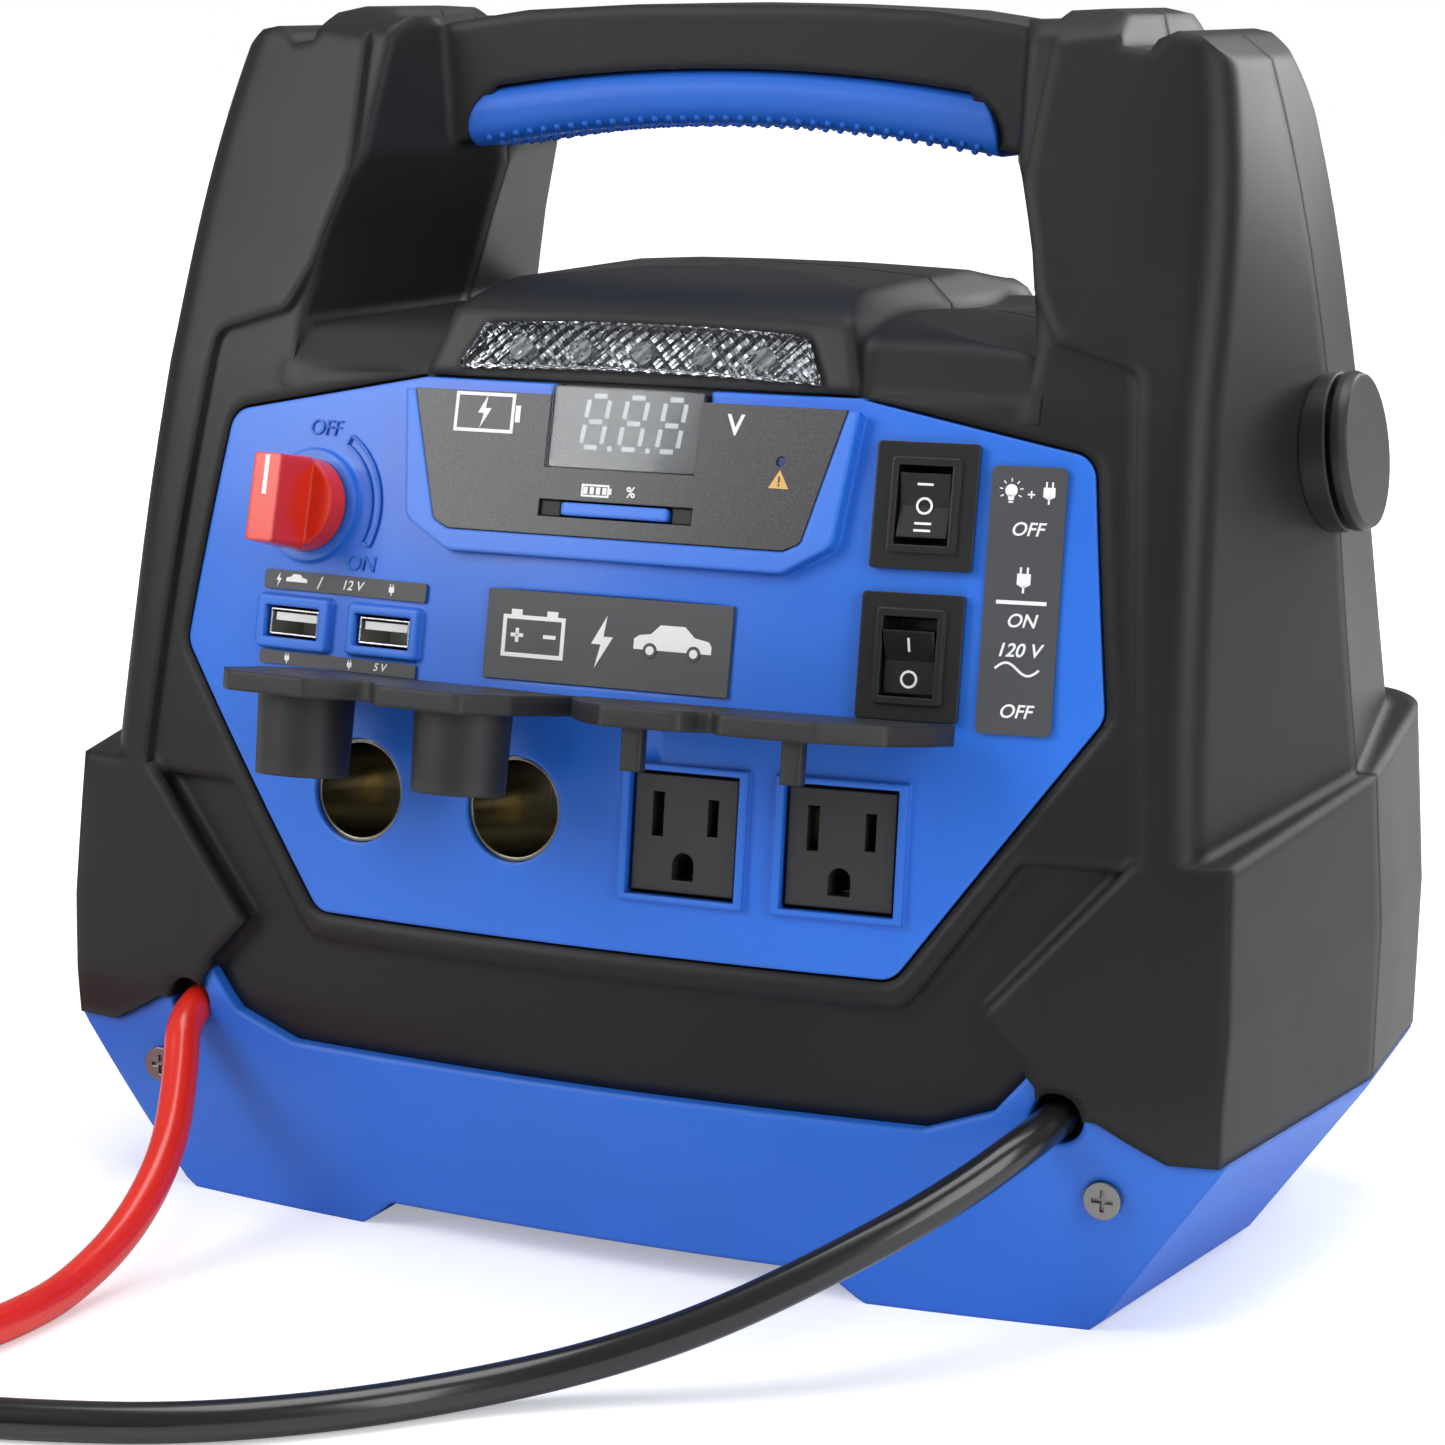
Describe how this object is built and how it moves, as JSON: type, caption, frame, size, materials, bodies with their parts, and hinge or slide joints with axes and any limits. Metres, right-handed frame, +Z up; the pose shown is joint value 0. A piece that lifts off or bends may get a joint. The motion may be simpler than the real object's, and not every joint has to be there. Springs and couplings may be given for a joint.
{
  "type": "jump starter pack",
  "caption": "Upright vehicle jump starter pack with carry handle, work lamp, control panel, sockets under hinged rubber covers and two booster cables ending in spring clamps.",
  "frame": {"origin": "centre of the case's footprint on the surface it stands on, cables and clamps left out", "axes": "+Z up, +X to the right seen from the control panel, -Y towards the user, so the control panel faces -Y"},
  "size_m": [0.3953, 0.3888, 0.2696],
  "materials": {
    "case": "charcoal moulded plastic with a fine satin texture",
    "blue_plastic": "bright blue moulded plastic, satin",
    "grip_rubber": "blue soft-touch grip with rows of small bumps",
    "screw_steel": "dark zinc-plated steel",
    "feet": "black rubber",
    "fascia": "dark grey speckled plastic",
    "window": "clear display window",
    "display": "grey liquid crystal display",
    "led": "clear moulded lamp bodies",
    "button_blue": "bright blue moulded plastic",
    "dark_trim": "black moulded plastic",
    "label": null,
    "knob": "orange-red moulded plastic with a white pointer",
    "steel": "nickel-plated steel",
    "socket_chrome": "polished plated steel",
    "insulator": "off-white plastic",
    "switch_black": "black glossy plastic with white marks on the rockers",
    "outlet": "dark grey textured plastic",
    "contact_brass": "brass",
    "cover_rubber": "black flexible rubber",
    "post": "black moulded plastic",
    "lens": "clear prismatic lens",
    "reflector": "bright metallised plastic",
    "board": "green circuit board",
    "battery_case": "grey sealed battery case",
    "heatsink": "extruded aluminium",
    "fan_plastic": "black moulded plastic",
    "red_jacket": "glossy red cable jacket and clamp covers",
    "black_jacket": "glossy black cable jacket and clamp covers",
    "copper": "copper-plated toothed contact plates"
  },
  "bodies": {
    "case": {"front_shell": "case", "rear_shell": "case", "base_tray": "blue_plastic", "control_panel": "blue_plastic", "handle_grip": "grip_rubber", "base_screws": "screw_steel", "case_screws": "screw_steel", "clamp_pins": "screw_steel", "clamp_springs": "screw_steel", "rubber_feet": "feet", "display_fascia": "fascia", "display_window": "window", "display_module": "display", "charge_led": "led", "lamp_leds": "led", "button_guides": "dark_trim", "socket_contacts": "dark_trim", "cable_grommets": "dark_trim", "start_relay": "dark_trim", "centre_label": "label", "port_labels": "label", "switch_label": "label", "usb_shells": "steel", "socket_barrels": "socket_chrome", "usb_tongues": "insulator", "switch_housings": "switch_black", "rotary_switch": "switch_black", "outlet_bodies": "outlet", "outlet_contacts": "contact_brass", "battery_terminals": "contact_brass", "clamp_posts": "post", "charge_inlet": "post", "lamp_lens": "lens", "lamp_reflector": "reflector", "display_board": "board", "inverter_board": "board", "control_board": "board", "battery": "battery_case", "inverter_heatsink": "heatsink", "fan_frame": "fan_plastic", "red_cable": "red_jacket", "red_cable_coil": "red_jacket", "red_clamp_fixed": "red_jacket", "black_cable": "black_jacket", "black_cable_coil": "black_jacket", "black_clamp_fixed": "black_jacket", "clamp_contacts_fixed": "copper"},
    "power_knob": {"power_knob": "knob", "knob_shaft": "steel"},
    "check_button": {"check_button": "button_blue"},
    "rocker_1": {"rocker_1": "switch_black"},
    "rocker_2": {"rocker_2": "switch_black"},
    "cover_12v": {"cover_12v": "cover_rubber"},
    "cover_ac": {"cover_ac": "cover_rubber"},
    "fan_rotor": {"fan_rotor": "fan_plastic"},
    "red_clamp_jaw": {"red_clamp_moving": "red_jacket", "red_contact_moving": "copper"},
    "black_clamp_jaw": {"black_clamp_moving": "black_jacket", "black_contact_moving": "copper"}
  },
  "joints": [
    {"name": "knob_turn", "type": "hinge", "parent": "case", "child": "power_knob", "pos_m": [-0.0774, -0.03994, 0.1604], "axis": [0.0975, 0.9685, -0.2293], "range_deg": [0, 120]},
    {"name": "check_press", "type": "slide", "parent": "case", "child": "check_button", "axis": [0, 0.9697, -0.2442], "range_m": [0, 0.0012], "stiffness_N_per_m": 400, "springref_m": -0.0006},
    {"name": "rocker_1_tilt", "type": "hinge", "parent": "case", "child": "rocker_1", "pos_m": [0.06824, -0.03586, 0.16798], "axis": [0.9961, 0.0887, 0], "range_deg": [-12, 12]},
    {"name": "rocker_2_tilt", "type": "hinge", "parent": "case", "child": "rocker_2", "pos_m": [0.06804, -0.04268, 0.13791], "axis": [0.9961, 0.0885, 0], "range_deg": [-24, 0]},
    {"name": "cover_12v_hinge", "type": "hinge", "parent": "case", "child": "cover_12v", "pos_m": [-0.04048, -0.0509, 0.12367], "axis": [0.9986, -0.0526, 0], "range_deg": [-45, 38], "stiffness_Nm_per_rad": 0.12},
    {"name": "cover_ac_hinge", "type": "hinge", "parent": "case", "child": "cover_ac", "pos_m": [0.03599, -0.05109, 0.12387], "axis": [0.9989, 0.0468, 0], "range_deg": [-8, 52], "stiffness_Nm_per_rad": 0.12},
    {"name": "fan_spin", "type": "hinge", "parent": "case", "child": "fan_rotor", "pos_m": [0.062, 0.0767, 0.096], "axis": [0, 1, 0], "continuous": true},
    {"name": "red_clamp_open", "type": "hinge", "parent": "case", "child": "red_clamp_jaw", "pos_m": [-0.226, -0.0378, 0.01], "axis": [0, 0, -1], "range_deg": [0, 28], "stiffness_Nm_per_rad": 0.6, "springref_deg": -17.19},
    {"name": "black_clamp_open", "type": "hinge", "parent": "case", "child": "black_clamp_jaw", "pos_m": [-0.028, -0.2756, 0.01], "axis": [0, 0, 1], "range_deg": [0, 28], "stiffness_Nm_per_rad": 0.6, "springref_deg": -17.19}
  ]
}
